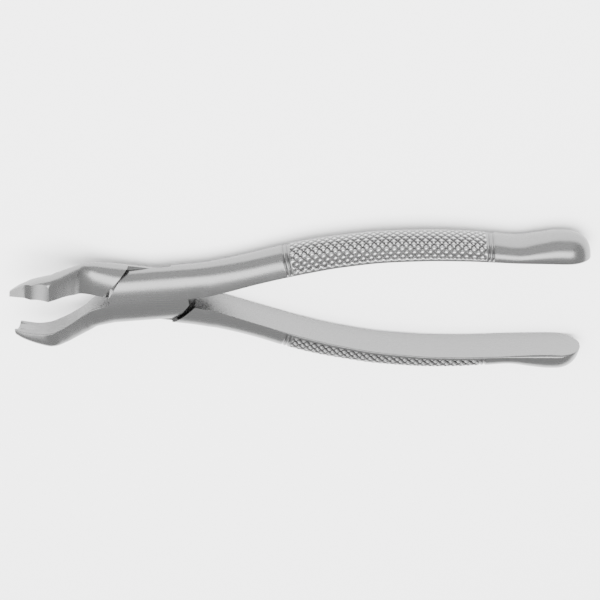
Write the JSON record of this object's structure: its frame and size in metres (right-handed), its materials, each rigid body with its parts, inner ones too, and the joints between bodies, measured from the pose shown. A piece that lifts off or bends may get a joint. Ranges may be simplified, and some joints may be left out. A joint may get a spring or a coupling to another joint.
{
  "type": "dental extraction forceps",
  "caption": "Bayonet extraction forceps: crossed halves on a flush screw lap joint, knurled curved handles, one pointed and one blunt scooped beak.",
  "frame": {"origin": "on the pivot axis, in the plane of the flat ground round the screw head at the rear of the joint", "axes": "+X towards the handle ends, Y across the opening of the handles, +Z along the pivot axis towards the front of the joint and the step of the beaks"},
  "size_m": [0.1742, 0.0474, 0.0218],
  "materials": {
    "satin_steel": "satin",
    "screw_steel": "fine turned"
  },
  "bodies": {
    "front": {"front_half": "satin_steel", "pivot_screw": "screw_steel"},
    "rear": {"rear_half": "satin_steel"}
  },
  "joints": [
    {"name": "pivot", "type": "hinge", "parent": "front", "child": "rear", "pos_m": [0, 0, 0], "axis": [0, 0, -1], "range_deg": [-12.4, 22]}
  ]
}
